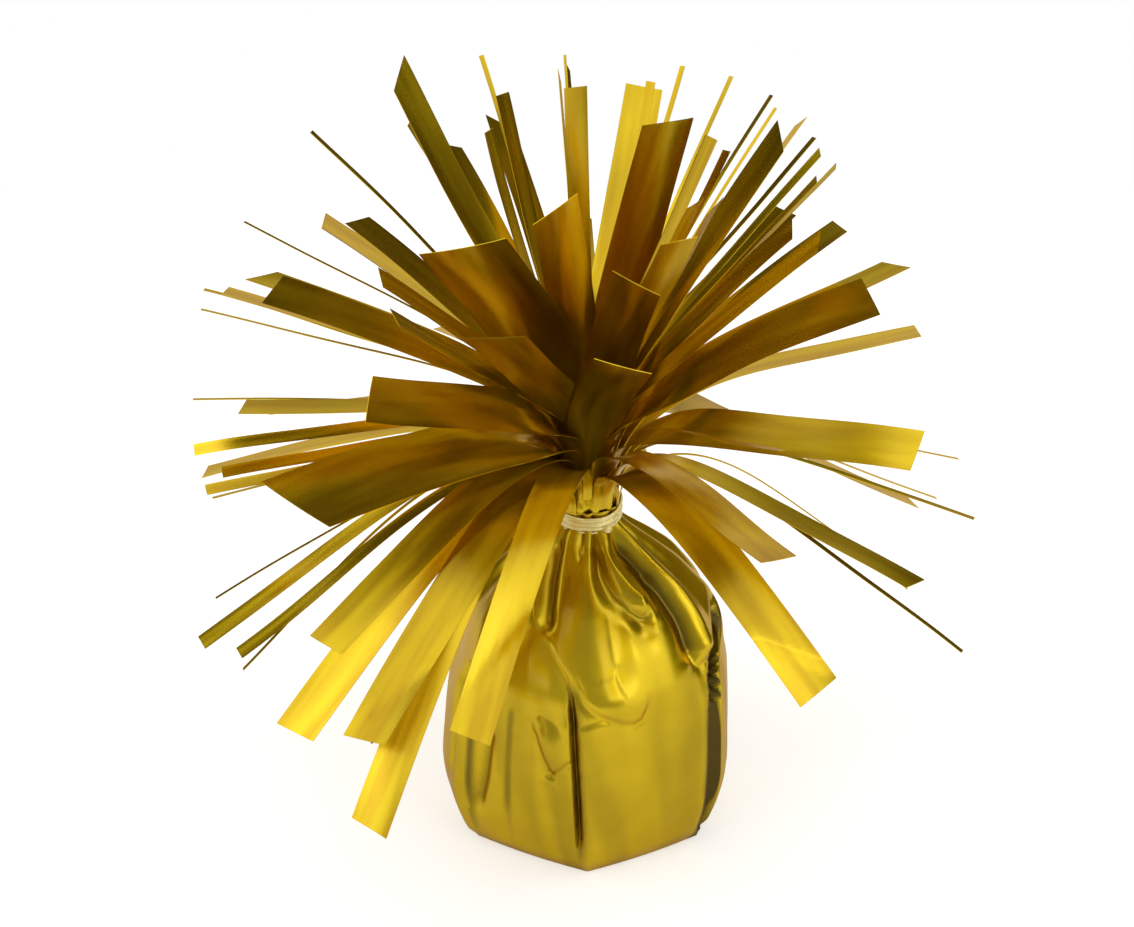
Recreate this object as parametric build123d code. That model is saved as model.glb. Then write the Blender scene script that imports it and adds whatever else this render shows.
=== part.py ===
from build123d import *
import math
import os

# A party balloon weight: a cast plug wrapped in gold film, with the film gathered into a
# neck, bound with a fine tie, and its margin slit into tongues that burst out above it.
# Millimetres, +Z up, origin at the middle of the base, the front crease facing -Y.

# Film, and the room between pieces that only lie against each other
STRIP_FILM = 0.2
WRAP_FILM = 0.4
SEAT_GAP = 0.3
LAYER_GAP = 0.1

# Cast core
CORE_HEIGHT = 33.0
CORE_SLACK = 2.0
CORE_EDGE_RADIUS = 1.8
DISH_RIM = 3.0
DISH_DEPTH = 1.4

# Wrap: radii at its six creases, measured outside
BASE_RADIUS = 24.2
BELLY_RADIUS = 28.2
SHOULDER_HEIGHT = 28.2
COLLAR_HEIGHT = 1.5
COLLAR_FLARE = 0.6
PLEAT_DEPTH = 0.9
NECK_PLEAT_DEPTH = 0.35
CREASES = 6
PLEATS = 12
POINTS_PER_PLEAT = 4
FRONT = -90.0
RIGHT_ANGLE = 90.0

# Rings of the wrap below the core's rim: share of the core's height, share of the way
# from the base radius to the belly radius, crease share, pleat share
BELLY_RING_SHARES = (
    (0.00, 0.00, 0.80, 0.00),
    (0.10, 0.42, 0.70, 0.00),
    (0.36, 0.80, 0.50, 0.10),
    (0.67, 1.00, 0.40, 0.15),
    (0.95, 0.94, 0.40, 0.25),
)
# Rings above the rim: share of the shoulder's height, share of the way from the neck
# radius to the belly radius, crease share, pleat share
SHOULDER_RING_SHARES = (
    (0.12, 0.90, 0.40, 0.40),
    (0.44, 0.73, 0.35, 0.75),
    (0.72, 0.46, 0.30, 1.00),
    (0.91, 0.17, 0.20, 0.80),
)

# Tie: a fine strand wound round the neck from a knot, ending in a short free tail
TIE_DIAMETER = 0.6
TIE_TURN_GAP = 0.45
TIE_QUARTERS = 9
TIE_MARGIN = 0.3
TIE_TAIL_RADIUS = 2.6
TIE_TAIL_TURN = 65.0
KNOT_BEARING = -60.0
KNOT_FACE_RADIUS = 0.5
KNOT_RADIUS = 1.2
KNOT_LENGTH = 1.9
GAP_SAMPLES = 360

# Fringe: tongues of film in layers up a tapering gather
STRIP_LENGTH = 80.0
STRIP_WIDTH = 7.2
ROOT_WIDTH = 1.4
SLIVER_WIDTH = 1.0
LAYER_RISE = 1.0
GATHER_TIP_RADIUS = 2.15
GATHER_TIP_HEIGHT = 1.6
GATHER_DEPTH = 7.0
BEND_POWER = 5
PATH_STEPS = 100
FULL_WIDTH_SHARE = 0.40
ROLL_START_SHARE = 0.06
ROLL_END_SHARE = 0.50
TIP_SLANT_SHARE = 0.18
STATION_SHARES = (0.0, 0.04, 0.08, 0.13, 0.19, 0.27, 0.38, 0.50, 0.75, 1.0)

# Strips, layer by layer from the lowest: bearing, pitch at the tip and roll in degrees,
# then length share and width share
LAYER_ANGLES_AND_SHARES = (
    (
        (-130, -58, -20, 1.06, 1.1),
        (80, -50, 10, 1.00, 1.0),
        (130, -50, -10, 1.00, 1.0),
    ),
    (
        (-138, -37, -40, 1.00, 1.1),
        (-60, -16, 30, 1.00, 1.1),
        (27, -37, 20, 1.00, 0.6),
        (63, -33, 50, 0.90, 1.0),
        (164, -24, -20, 1.00, 0.7),
    ),
    (
        (-152, -29, 0, 1.04, 0.8),
        (-122, -32, -30, 1.00, 1.1),
        (-44, -8, -10, 1.00, 0.6),
        (34, -7, 20, 1.00, 0.8),
        (112, -15, -10, 0.95, 1.0),
        (148, -19, 0, 0.95, 0.6),
    ),
    (
        (-106, -26, -20, 1.00, 1.0),
        (-64, 4, 10, 0.95, 1.0),
        (38, 3, 0, 1.00, 0.8),
        (92, 5, 10, 0.95, 1.0),
    ),
    (
        (-154, 1, -50, 1.00, 0.9),
        (-129, -16, 0, 0.95, 0.9),
        (-40, 12, 50, 1.00, 1.0),
        (46, 9, -10, 0.95, 0.7),
        (146, 3, 0, 1.00, 0.8),
    ),
    (
        (-147, 17, -10, 1.00, 0.6),
        (54, 13, 10, 0.90, 0.7),
    ),
    (
        (-166, 26, -10, 1.00, 0.7),
        (-126, 24, -50, 0.95, 1.1),
        (-84, 38, -20, 0.88, 1.4),
        (-32, 35, 40, 0.95, 1.0),
        (75, 25, -25, 0.95, 0.8),
        (137, 11, 15, 0.95, 0.9),
    ),
    (
        (-152, 32, -40, 1.00, 0.9),
        (-108, 38, 30, 0.90, 1.4),
        (53, 25, -15, 1.00, 0.8),
        (118, 27, 10, 0.90, 0.9),
    ),
    (
        (-140, 40, -35, 0.85, 0.9),
        (-80, 48, -20, 0.90, 1.3),
        (-28, 48, 55, 0.90, 0.9),
        (22, 42, 0, 0.88, 0.8),
        (80, 30, 10, 1.00, 1.0),
    ),
    (
        (-164, 47, -25, 0.85, 0.8),
        (-66, 55, -10, 0.88, 0.8),
        (-14, 60, 25, 0.95, 0.8),
        (107, 30, 35, 0.90, 0.8),
    ),
    (
        (-118, 48, 25, 0.95, 2.1),
        (-52, 58, -10, 0.90, 1.0),
        (95, 34, 40, 1.00, 0.6),
        (133, 40, 30, 0.88, 0.8),
        (168, 61, -10, 1.00, 0.8),
    ),
    (
        (-175, 75, -40, 0.90, 0.9),
        (-100, 60, 10, 0.90, 1.2),
        (-30, 66, -35, 0.92, 1.0),
    ),
    (
        (-104, 82, -25, 0.95, 0.6),
        (-42, 76, -20, 0.90, 1.2),
    ),
)

# Slivers, the threads of film left between slits: layer, bearing, pitch and length share
SLIVER_ANGLES_AND_SHARES = (
    (0, -170, -45, 1.00),
    (0, -25, -30, 1.00),
    (0, 100, -35, 0.95),
    (3, -20, -8, 0.95),
    (5, 166, 10, 1.00),
    (5, -60, 20, 0.92),
    (9, 45, 28, 0.95),
    (9, 160, 40, 0.98),
    (12, 70, 40, 0.95),
    (12, 130, 62, 0.92),
)

# Sizes that follow from those above
LAYER_STEP = STRIP_FILM + LAYER_GAP
LAYERS = len(LAYER_ANGLES_AND_SHARES)
GATHER_RADIUS = GATHER_TIP_RADIUS + LAYER_STEP * (LAYERS - 1)
NECK_RADIUS = GATHER_RADIUS + SEAT_GAP + WRAP_FILM + NECK_PLEAT_DEPTH
TIE_PITCH = TIE_DIAMETER + TIE_TURN_GAP
TIE_RISE = TIE_PITCH * TIE_QUARTERS / 4
NECK_HEIGHT = TIE_RISE + TIE_DIAMETER + 2 * TIE_MARGIN
NECK_BASE = WRAP_FILM + CORE_HEIGHT + SHOULDER_HEIGHT
NECK_TOP = NECK_BASE + NECK_HEIGHT
COLLAR_TOP = NECK_TOP + COLLAR_HEIGHT
FIRST_ROOT = COLLAR_TOP + SEAT_GAP
TIE_RADIUS = NECK_RADIUS + NECK_PLEAT_DEPTH + SEAT_GAP + TIE_DIAMETER / 2


def bearing_direction(bearing):
    """Level direction at a bearing in degrees, counted from +X towards +Y."""
    turn = math.radians(bearing)
    return Vector(math.cos(turn), math.sin(turn), 0)


def faceted_solid(rings, fold_follows):
    """Closed solid through rings of points, each span folded into flat triangles.

    fold_follows(span, side) says which diagonal of a span's side is the fold, so that
    the two faces of a thin film fold along the same line.
    """
    faces = [Face(Wire.make_polygon(ring, close=True)) for ring in (rings[0], rings[-1])]
    for span, (lower, upper) in enumerate(zip(rings, rings[1:])):
        for here in range(len(lower)):
            there = (here + 1) % len(lower)
            corners = [lower[here], lower[there], upper[there], upper[here]]
            if not fold_follows(span, here):
                corners = corners[1:] + corners[:1]
            first, second, third, fourth = corners
            faces.append(Face(Wire.make_polygon((first, second, third), close=True)))
            faces.append(Face(Wire.make_polygon((first, third, fourth), close=True)))
    return Solid(Shell(faces))


# Wrap

def flat_factor(crease):
    """Radius between two creases as a share of the radius at a crease."""
    return 1 - crease * (1 - math.cos(math.pi / CREASES))


def wrap_ring(height, radius, crease, pleat_depth):
    """One level ring of the wrap: a softened hexagon with pleats round it."""
    points = []
    half_side = math.pi / CREASES
    count = PLEATS * POINTS_PER_PLEAT
    for index in range(count):
        turn = 2 * math.pi * index / count
        from_flat = turn % (2 * half_side) - half_side
        hexagon = math.cos(half_side) / math.cos(from_flat)
        reach = radius * (1 - crease + crease * hexagon)
        reach += pleat_depth * math.cos(PLEATS * turn)
        outward = bearing_direction(FRONT + math.degrees(turn))
        points.append(outward * reach + Vector(0, 0, height))
    return points


def wrap_profile():
    """Height, radius, crease share and pleat depth of each ring, from the base up."""
    profile = []
    for height, spread, crease, pleat in BELLY_RING_SHARES:
        radius = BASE_RADIUS + (BELLY_RADIUS - BASE_RADIUS) * spread
        profile.append((height * CORE_HEIGHT, radius, crease, pleat * PLEAT_DEPTH))
    for height, spread, crease, pleat in SHOULDER_RING_SHARES:
        radius = NECK_RADIUS + (BELLY_RADIUS - NECK_RADIUS) * spread
        rise = WRAP_FILM + CORE_HEIGHT + height * SHOULDER_HEIGHT
        profile.append((rise, radius, crease, pleat * PLEAT_DEPTH))
    profile.append((NECK_BASE, NECK_RADIUS, 0, NECK_PLEAT_DEPTH))
    profile.append((NECK_TOP, NECK_RADIUS, 0, NECK_PLEAT_DEPTH))
    profile.append((COLLAR_TOP, NECK_RADIUS + COLLAR_FLARE, 0, NECK_PLEAT_DEPTH))
    return profile


def make_wrap():
    """Film up the outside, over the collar's edge and down the inside to the floor."""
    profile = wrap_profile()
    outside = [wrap_ring(*ring) for ring in profile]
    inside = []
    for height, radius, crease, pleat_depth in reversed(profile):
        level = max(height, WRAP_FILM)
        inside.append(wrap_ring(level, radius - WRAP_FILM, crease, pleat_depth))
    return faceted_solid(outside + inside, lambda span, side: span < len(outside))


# Core

def make_core():
    """Drafted plug with a shallow dish in its top, standing on the film's floor."""
    base_crease = BELLY_RING_SHARES[0][2]
    belly_crease = BELLY_RING_SHARES[-1][2]
    base_radius = BASE_RADIUS * flat_factor(base_crease) - WRAP_FILM - CORE_SLACK
    top_radius = BELLY_RADIUS * flat_factor(belly_crease) - WRAP_FILM - CORE_SLACK - DISH_RIM / 2
    outline = Polyline(
        (0, WRAP_FILM),
        (base_radius, WRAP_FILM),
        (top_radius, WRAP_FILM + CORE_HEIGHT),
        (top_radius - DISH_RIM, WRAP_FILM + CORE_HEIGHT),
        (top_radius - DISH_RIM - DISH_DEPTH, WRAP_FILM + CORE_HEIGHT - DISH_DEPTH),
        (0, WRAP_FILM + CORE_HEIGHT - DISH_DEPTH),
        close=True,
    )
    plug = revolve(Plane.XZ * make_face(outline), Axis.Z)
    side = plug.faces().filter_by(GeomType.CONE).sort_by(SortBy.AREA)[-1]
    rims = side.edges().filter_by(GeomType.CIRCLE)
    return fillet(rims, min(CORE_EDGE_RADIUS, DISH_RIM / 2))


# Fringe

def make_gather():
    """Core of the gathered film: a rod inside the neck that thins as each layer leaves."""
    top = FIRST_ROOT + LAYER_RISE * (LAYERS - 1)
    outline = Polyline(
        (0, NECK_BASE - GATHER_DEPTH),
        (GATHER_RADIUS, NECK_BASE - GATHER_DEPTH),
        (GATHER_RADIUS, FIRST_ROOT),
        (GATHER_TIP_RADIUS, top),
        (GATHER_TIP_RADIUS / 2, top + GATHER_TIP_HEIGHT),
        (0, top + GATHER_TIP_HEIGHT),
        close=True,
    )
    return revolve(Plane.XZ * make_face(outline), Axis.Z)


def smooth_share(share, start, end):
    """Smooth rise from 0 at the start share to 1 at the end share."""
    part = min(max((share - start) / (end - start), 0), 1)
    return part * part * (3 - 2 * part)


def make_strip(layer, bearing, pitch, roll, length, width, slant):
    """Tongue of film: upright at its root, bending outwards, widening and rolling over."""
    outward = bearing_direction(bearing)
    sideways = bearing_direction(bearing + RIGHT_ANGLE)
    upward = Vector(0, 0, 1)
    root_radius = GATHER_RADIUS - LAYER_STEP * layer + SEAT_GAP + STRIP_FILM / 2
    middle = outward * root_radius + upward * (FIRST_ROOT + LAYER_RISE * layer)
    root_width = min(ROOT_WIDTH, width)
    stations = [round(share * PATH_STEPS) for share in STATION_SHARES]
    rings = []
    for count in range(PATH_STEPS + 1):
        share = count / PATH_STEPS
        lean = math.radians(pitch + (RIGHT_ANGLE - pitch) * (1 - share) ** BEND_POWER)
        along = outward * math.cos(lean) + upward * math.sin(lean)
        if count in stations:
            face = upward * math.cos(lean) - outward * math.sin(lean)
            turn = math.radians(roll) * smooth_share(share, ROLL_START_SHARE, ROLL_END_SHARE)
            across = sideways * math.cos(turn) + face * math.sin(turn)
            normal = face * math.cos(turn) - sideways * math.sin(turn)
            spread = root_width + (width - root_width) * min(share / FULL_WIDTH_SHARE, 1)
            edge = across * (spread / 2)
            if count == stations[-1]:
                edge += along * (slant * spread / 2)
            half_film = normal * (STRIP_FILM / 2)
            rings.append([
                middle + edge + half_film,
                middle - edge + half_film,
                middle - edge - half_film,
                middle + edge - half_film,
            ])
        middle += along * (length / PATH_STEPS)
    return faceted_solid(rings, lambda span, side: side == 0)


def make_strips():
    """Every strip of the fringe, named in order from the lowest layer."""
    strips = {}
    for layer, rows in enumerate(LAYER_ANGLES_AND_SHARES):
        for bearing, pitch, roll, length_share, width_share in rows:
            number = len(strips) + 1
            slant = TIP_SLANT_SHARE if number % 2 else -TIP_SLANT_SHARE
            strips[f"fringe_strip_{number:02d}"] = make_strip(
                layer, bearing, pitch, roll,
                STRIP_LENGTH * length_share, STRIP_WIDTH * width_share, slant,
            )
    return strips


def make_slivers():
    """Threads of film between the strips."""
    return Compound([
        make_strip(layer, bearing, pitch, 0, STRIP_LENGTH * length_share, SLIVER_WIDTH, 0)
        for layer, bearing, pitch, length_share in SLIVER_ANGLES_AND_SHARES
    ])


# Tie

def biarc(start, start_tangent, end, end_tangent):
    """Two arcs, tangent to each other, from one point and direction to another."""
    chord = end - start
    tangents = start_tangent + end_tangent
    spread = 2 * (1 - start_tangent.dot(end_tangent))
    lean = chord.dot(tangents)
    reach = (math.sqrt(lean * lean + spread * chord.dot(chord)) - lean) / spread
    joint = (start + start_tangent * reach + end - end_tangent * reach) / 2
    first = Edge.make_tangent_arc(start, start_tangent, joint)
    return [first, Edge.make_tangent_arc(joint, first.tangent_at(1), end)]


def tie_point(quarter):
    """Point and direction on the winding after a number of quarter turns, clockwise."""
    bearing = KNOT_BEARING - quarter * RIGHT_ANGLE
    height = NECK_BASE + TIE_MARGIN + TIE_DIAMETER / 2 + TIE_PITCH * quarter / 4
    point = bearing_direction(bearing) * TIE_RADIUS + Vector(0, 0, height)
    slope = TIE_PITCH / (2 * math.pi * TIE_RADIUS)
    forward = bearing_direction(bearing - RIGHT_ANGLE) + Vector(0, 0, slope)
    return point, forward.normalized()


def tie_path():
    """Route of the tie: in from the knot, round the neck, and out into a free tail."""
    point, forward = tie_point(0)
    outward = bearing_direction(KNOT_BEARING)
    bend = point + outward * TIE_DIAMETER - forward * TIE_DIAMETER
    edges = [
        Edge.make_line(bend + outward * TIE_DIAMETER, bend),
        Edge.make_tangent_arc(bend, outward * -1, point),
    ]
    for quarter in range(TIE_QUARTERS):
        point, forward = tie_point(quarter)
        edges += biarc(point, forward, *tie_point(quarter + 1))
    point, forward = tie_point(TIE_QUARTERS)
    outward = bearing_direction(KNOT_BEARING - TIE_QUARTERS * RIGHT_ANGLE)
    turn = math.radians(TIE_TAIL_TURN)
    swing = forward * math.sin(turn) + outward * (1 - math.cos(turn))
    tail_start = point + swing * TIE_TAIL_RADIUS
    edges.append(Edge.make_tangent_arc(point, forward, tail_start))
    tail = forward * math.cos(turn) + outward * math.sin(turn)
    edges.append(Edge.make_line(tail_start, tail_start + tail * TIE_DIAMETER))
    return Wire(edges)


def least_gap(path):
    """Least clear gap between turns, measured between points along the path."""
    points = [path.position_at(count / GAP_SAMPLES) for count in range(GAP_SAMPLES + 1)]
    apart = round(GAP_SAMPLES * math.pi * TIE_RADIUS / path.length)
    return min(
        (points[later] - points[earlier]).length - TIE_DIAMETER
        for earlier in range(len(points))
        for later in range(earlier + apart, len(points))
    )


def make_tie(path):
    """One unbroken strand along its route."""
    start = Plane(path.position_at(0), z_dir=path.tangent_at(0))
    return sweep(start * Circle(TIE_DIAMETER / 2), path=path)


def make_knot(path):
    """Tight knot that the tie runs into, with a flat where the strand meets it."""
    axis = Plane(path.position_at(0), x_dir=(0, 0, 1), z_dir=path.tangent_at(0) * -1)
    side = Polyline((KNOT_FACE_RADIUS, 0), (0, 0), (0, KNOT_LENGTH), (KNOT_FACE_RADIUS, KNOT_LENGTH))
    bulge = ThreePointArc(
        (KNOT_FACE_RADIUS, KNOT_LENGTH), (KNOT_RADIUS, KNOT_LENGTH / 2), (KNOT_FACE_RADIUS, 0)
    )
    upright = Plane(axis.origin, x_dir=axis.x_dir, z_dir=axis.x_dir.cross(axis.z_dir))
    return revolve(upright * make_face([side, bulge]), Axis(axis.origin, axis.z_dir))


route = tie_path()
nodes = {
    "weight_core": make_core(),
    "foil_wrap": make_wrap(),
    "fringe_gather": make_gather(),
    "tie_winding": make_tie(route),
    "tie_knot": make_knot(route),
    "fringe_slivers": make_slivers(),
}
nodes.update(make_strips())

os.makedirs("parts", exist_ok=True)
for name, shape in nodes.items():
    export_step(shape, f"parts/{name}.step")

strand_volume = math.pi * TIE_DIAMETER ** 2 / 4 * route.length
print(f"tie: {route.length:.1f} mm long, least gap {least_gap(route):.2f} mm between turns")
print(f"tie volume over section times length: {nodes['tie_winding'].volume / strand_volume:.3f}")
print(f"{len(nodes)} nodes, neck radius {NECK_RADIUS:.2f}, first roots at {FIRST_ROOT:.2f}")
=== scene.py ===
# %% [markdown]
# # A gold foil balloon weight
# The real object is a small cast plug in a bag of gold metallised film. The film is drawn
# up over the plug, tied at a neck, and above the tie it bursts into over fifty slit strips.
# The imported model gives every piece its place. This lesson dresses that frame: each strip,
# the crumpled bag, the pleated neck and the tie are modelled as thin film or fine strand.

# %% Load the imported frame
import math

import bmesh
import bpy
from mathutils import Matrix, Vector, noise


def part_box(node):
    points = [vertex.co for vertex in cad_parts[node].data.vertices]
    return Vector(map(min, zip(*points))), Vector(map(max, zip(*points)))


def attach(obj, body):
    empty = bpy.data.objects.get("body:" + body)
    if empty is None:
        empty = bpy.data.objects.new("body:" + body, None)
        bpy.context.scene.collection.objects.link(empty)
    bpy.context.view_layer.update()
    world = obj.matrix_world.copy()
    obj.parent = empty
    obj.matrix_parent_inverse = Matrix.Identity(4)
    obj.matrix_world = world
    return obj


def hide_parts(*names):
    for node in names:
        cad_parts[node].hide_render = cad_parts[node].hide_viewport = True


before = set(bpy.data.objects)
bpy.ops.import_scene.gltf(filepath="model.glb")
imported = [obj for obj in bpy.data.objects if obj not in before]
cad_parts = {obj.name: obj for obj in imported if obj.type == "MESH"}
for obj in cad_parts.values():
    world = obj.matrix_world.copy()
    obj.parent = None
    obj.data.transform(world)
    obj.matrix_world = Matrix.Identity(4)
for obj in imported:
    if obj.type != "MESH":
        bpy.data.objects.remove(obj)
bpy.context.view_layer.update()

MM = 0.001
print("nodes in the frame:", len(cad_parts))

# %% [markdown]
# ## The camera
# The photograph looks down at the weight by 29 degrees, through a long lens that hardly
# shrinks what is further off. A camera is placed by aiming it: from the point that it looks
# at, step back along the view direction, then turn its own -Z axis on to that line.

# %% Camera at the photograph's angle
AIM = Vector((-3.9, 0.0, 74.8)) * MM
CAMERA_DISTANCE = 700 * MM
CAMERA_ELEVATION = math.radians(29)
LENS_MM = 120
SENSOR_MM = 36

lens = bpy.data.cameras.new("camera")
lens.lens = LENS_MM
lens.sensor_width = SENSOR_MM
lens.sensor_fit = "HORIZONTAL"
camera = bpy.data.objects.new("camera", lens)
backwards = Vector((0, -math.cos(CAMERA_ELEVATION), math.sin(CAMERA_ELEVATION)))
camera.location = AIM + backwards * CAMERA_DISTANCE
camera.rotation_euler = (-backwards).to_track_quat("-Z", "Y").to_euler()
bpy.context.collection.objects.link(camera)
bpy.context.scene.camera = camera
bpy.context.scene.view_settings.view_transform = "Standard"
print("camera at", [round(value, 3) for value in camera.location])

# %% [markdown]
# ## Helpers for finishes
# Colours are written as sRGB hex values, as a paint chart gives them, and Blender wants
# linear light, so one function converts them. Another adds a node: its settings, and for
# each input either a value or the socket that feeds it. The others start a material, fill a
# colour ramp, and pick out the rays that come by way of a mirror or through a clear piece.

# %% Colour and node helpers
def linear(hex_colour):
    """Linear RGBA of an sRGB hex colour such as #d9b310."""
    channels = [int(hex_colour[at:at + 2], 16) / 255 for at in (1, 3, 5)]
    light = [c / 12.92 if c <= 0.04045 else ((c + 0.055) / 1.055) ** 2.4 for c in channels]
    return (*light, 1.0)


def add_node(tree, kind, inputs=None, **settings):
    """Add a node, set its properties, and fill its inputs with values or links."""
    node = tree.nodes.new(kind)
    for name, value in settings.items():
        setattr(node, name, value)
    for socket, source in (inputs or {}).items():
        if isinstance(source, bpy.types.NodeSocket):
            tree.links.new(source, node.inputs[socket])
        else:
            node.inputs[socket].default_value = source
    return node


def new_material(name):
    """An empty node material with its output, and the shader that feeds it."""
    material = bpy.data.materials.new(name)
    material.use_nodes = True
    tree = material.node_tree
    tree.nodes.clear()
    shader = add_node(tree, "ShaderNodeBsdfPrincipled")
    add_node(tree, "ShaderNodeOutputMaterial", {"Surface": shader.outputs["BSDF"]})
    return material, tree, shader


def set_ramp(ramp, stops):
    """Give a colour ramp its stops, each a position and a hex colour."""
    while len(ramp.elements) < len(stops):
        ramp.elements.new(1.0)
    for element, (position, colour) in zip(ramp.elements, stops):
        element.position = position
        element.color = linear(colour)


def mirror_rays(tree):
    """The light path node, and a value that is 1 for mirrored and transmitted rays."""
    rays = add_node(tree, "ShaderNodeLightPath")
    mirror = add_node(
        tree, "ShaderNodeMath",
        {0: rays.outputs["Is Glossy Ray"], 1: rays.outputs["Is Transmission Ray"]},
        operation="MAXIMUM",
    )
    return rays, mirror.outputs["Value"]


print("white is", linear("#ffffff"))

# %% [markdown]
# ## The studio
# A mirror film shows the room more than its own colour, so the room is the main part of
# this finish. The background is white paper: the camera sees it everywhere, and the film
# mirrors it where it stands, on the far side of the table and, paler, on the near side.
# The rest of the room is dim and warm, which turns the strips that face it to olive and
# brown. Matt surfaces get a weak even light.

# %% World: dim warm room in front of a white background
ROOM_STOPS = (
    # share of the way from straight down to straight up
    (0.00, "#28241e"),
    (0.53, "#2a2620"),
    (0.60, "#48402e"),
    (1.00, "#4a4232"),
)
WHITE_STOPS = (
    # share of the way from the camera's side to the far side, and how much white stands there
    (0.00, "#949494"),
    (0.12, "#949494"),
    (0.34, "#000000"),
    (0.80, "#000000"),
    (0.90, "#464646"),
    (0.95, "#e6e6e6"),
    (1.00, "#e6e6e6"),
)
EVEN_LIGHT = 0.70
world = bpy.data.worlds.new("studio")
bpy.context.scene.world = world
world.use_nodes = True
tree = world.node_tree
tree.nodes.clear()
direction = add_node(tree, "ShaderNodeTexCoord")
axes = add_node(tree, "ShaderNodeSeparateXYZ", {"Vector": direction.outputs["Generated"]})
upward = add_node(
    tree, "ShaderNodeMapRange",
    {"Value": axes.outputs["Z"], "From Min": -1.0, "From Max": 1.0},
)
room = add_node(tree, "ShaderNodeValToRGB", {"Fac": upward.outputs["Result"]})
set_ramp(room.color_ramp, ROOM_STOPS)
backward = add_node(
    tree, "ShaderNodeMapRange",
    {"Value": axes.outputs["Y"], "From Min": -1.0, "From Max": 1.0},
)
backdrop = add_node(tree, "ShaderNodeValToRGB", {"Fac": backward.outputs["Result"]})
set_ramp(backdrop.color_ramp, WHITE_STOPS)
rays, mirror = mirror_rays(tree)
mirrored_white = add_node(
    tree, "ShaderNodeMath", {0: mirror, 1: backdrop.outputs["Color"]}, operation="MULTIPLY"
)
any_white = add_node(
    tree, "ShaderNodeMath",
    {0: rays.outputs["Is Camera Ray"], 1: mirrored_white.outputs["Value"]}, operation="MAXIMUM",
)
dim = add_node(tree, "ShaderNodeBackground", {"Color": room.outputs["Color"]})
even = add_node(
    tree, "ShaderNodeBackground", {"Color": linear("#ffffff"), "Strength": EVEN_LIGHT}
)
white = add_node(tree, "ShaderNodeBackground", {"Color": linear("#ffffff")})
matt = add_node(
    tree, "ShaderNodeMixShader",
    {0: rays.outputs["Is Diffuse Ray"], 1: dim.outputs[0], 2: even.outputs[0]},
)
seen = add_node(
    tree, "ShaderNodeMixShader",
    {0: any_white.outputs["Value"], 1: matt.outputs[0], 2: white.outputs[0]},
)
add_node(tree, "ShaderNodeOutputWorld", {"Surface": seen.outputs["Shader"]})
print("world ramp stops:", len(ROOM_STOPS))

# %% [markdown]
# The floor is a sheet of white paper, 80 cm square. Part of its white is its own, shown in
# full to the camera and weaker to mirrors, so it runs into the background without an edge.
# The rest is lit, so it still takes the shadow of the weight.

# %% Floor
FLOOR_SIZE = 0.80
FLOOR_FORWARD = 0.12
OWN_WHITE = 0.50
MIRROR_SHARE = 0.2
bm = bmesh.new()
bmesh.ops.create_grid(bm, x_segments=1, y_segments=1, size=FLOOR_SIZE / 2)
bmesh.ops.translate(bm, verts=bm.verts, vec=(0, -FLOOR_FORWARD, 0))
mesh = bpy.data.meshes.new("floor")
bm.to_mesh(mesh)
bm.free()
floor = bpy.data.objects.new("floor", mesh)
bpy.context.collection.objects.link(floor)

paper, tree, shader = new_material("matt white paper")
shader.inputs["Base Color"].default_value = linear("#d6d2cc")
shader.inputs["Roughness"].default_value = 0.9
shader.inputs["Specular IOR Level"].default_value = 0.1
rays, mirror = mirror_rays(tree)
dimmed = add_node(tree, "ShaderNodeMath", {0: mirror, 1: MIRROR_SHARE}, operation="MULTIPLY")
any_view = add_node(
    tree, "ShaderNodeMath",
    {0: rays.outputs["Is Camera Ray"], 1: dimmed.outputs["Value"]}, operation="MAXIMUM",
)
own = add_node(
    tree, "ShaderNodeMath", {0: any_view.outputs["Value"], 1: OWN_WHITE}, operation="MULTIPLY"
)
shader.inputs["Emission Color"].default_value = linear("#ffffff")
tree.links.new(own.outputs["Value"], shader.inputs["Emission Strength"])
mesh.materials.append(paper)
print("floor", FLOOR_SIZE, "m across")

# %% [markdown]
# A mirror shows the shapes of its lamps. A wide light box hangs over the table, two stand at
# the left and one at the right, and two smaller, brighter lamps at the right draw the palest
# streaks. Wattage follows from the brightness that a mirror should show: watts = pi x area x
# radiance.

# %% Soft boxes
SOFT_BOXES = (
    # name, place in metres, width, height, radiance
    ("light_box_overhead", Vector((0.0, -0.04, 1.10)), 1.70, 0.56, 1.08),
    ("light_box_left", Vector((-0.92, -0.19, 0.75)), 1.05, 0.72, 1.20),
    ("light_box_front_left", Vector((-0.73, -0.68, 0.65)), 0.42, 0.96, 0.92),
    ("light_box_right", Vector((0.98, -0.50, 0.39)), 0.74, 1.01, 0.95),
    ("lamp_right", Vector((0.75, -0.13, 0.93)), 0.39, 0.35, 1.30),
    ("lamp_front", Vector((0.63, -0.78, 0.63)), 0.56, 0.48, 1.25),
)
for name, place, width, height, radiance in SOFT_BOXES:
    lamp = bpy.data.lights.new(name, "AREA")
    lamp.shape = "RECTANGLE"
    lamp.size = width
    lamp.size_y = height
    lamp.energy = math.pi * width * height * radiance
    box = bpy.data.objects.new(name, lamp)
    box.location = place
    box.rotation_euler = (AIM - place).to_track_quat("-Z", "Y").to_euler()
    bpy.context.collection.objects.link(box)
    print(name, round(lamp.energy, 2), "W")
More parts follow.
